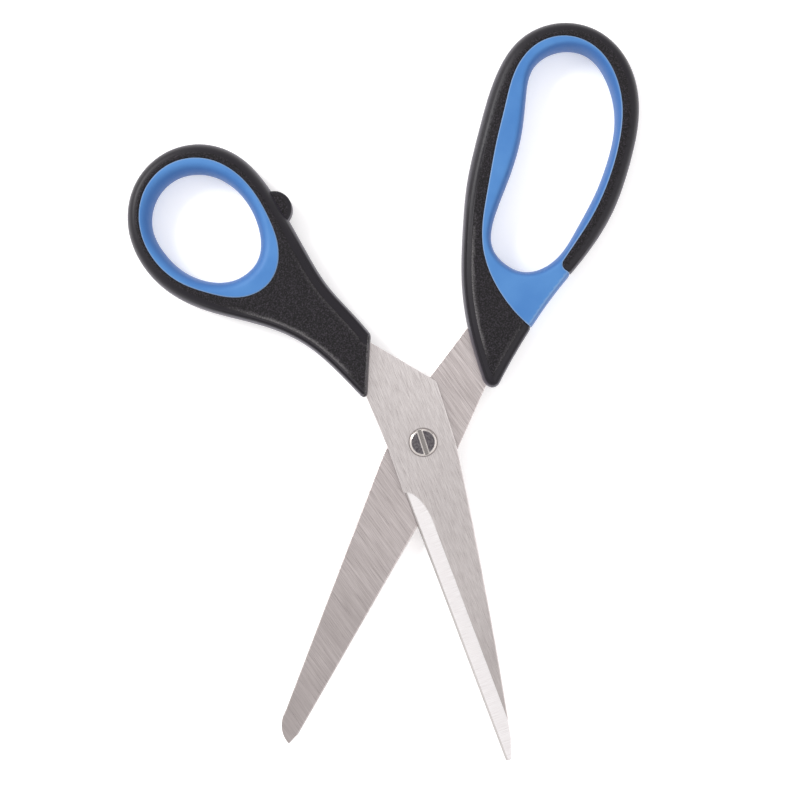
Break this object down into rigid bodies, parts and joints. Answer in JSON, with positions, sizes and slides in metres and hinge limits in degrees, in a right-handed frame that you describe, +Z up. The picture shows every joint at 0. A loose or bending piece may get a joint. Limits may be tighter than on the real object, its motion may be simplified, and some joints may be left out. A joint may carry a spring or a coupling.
{
  "type": "office scissors",
  "caption": "Office scissors: two tapered steel blades on a slotted screw, black moulded handles with soft blue grips, and a stop that limits closing.",
  "frame": {"origin": "centre of the base of the open scissors' box, on the plane that they lie on", "axes": "+Z up out of the plane the scissors lie on, +Y along the finger half from its blade tip towards its bow, thumb bow towards -X"},
  "size_m": [0.1569, 0.2112, 0.01],
  "materials": {
    "blade_steel": "stamped stainless steel, ground on the inner faces and bevels, fine brushed outside",
    "screw_steel": "bright nickel-plated steel",
    "washer_nylon": "natural nylon",
    "handle_plastic": "black hard plastic, spark-eroded texture on the panels, satin rims",
    "grip_rubber": "matt blue thermoplastic rubber"
  },
  "bodies": {
    "finger_half": {"rear_blade": "blade_steel", "finger_handle": "handle_plastic", "finger_grip": "grip_rubber", "pivot_screw": "screw_steel", "lock_nut": "screw_steel", "blade_washer": "washer_nylon"},
    "thumb_half": {"front_blade": "blade_steel", "thumb_handle": "handle_plastic", "thumb_grip": "grip_rubber"}
  },
  "joints": [
    {"name": "blade_pivot", "type": "hinge", "parent": "finger_half", "child": "thumb_half", "pos_m": [0.0216, -0.01605, 0.005], "axis": [0, 0, 1], "range_deg": [-38.4, 79]}
  ]
}
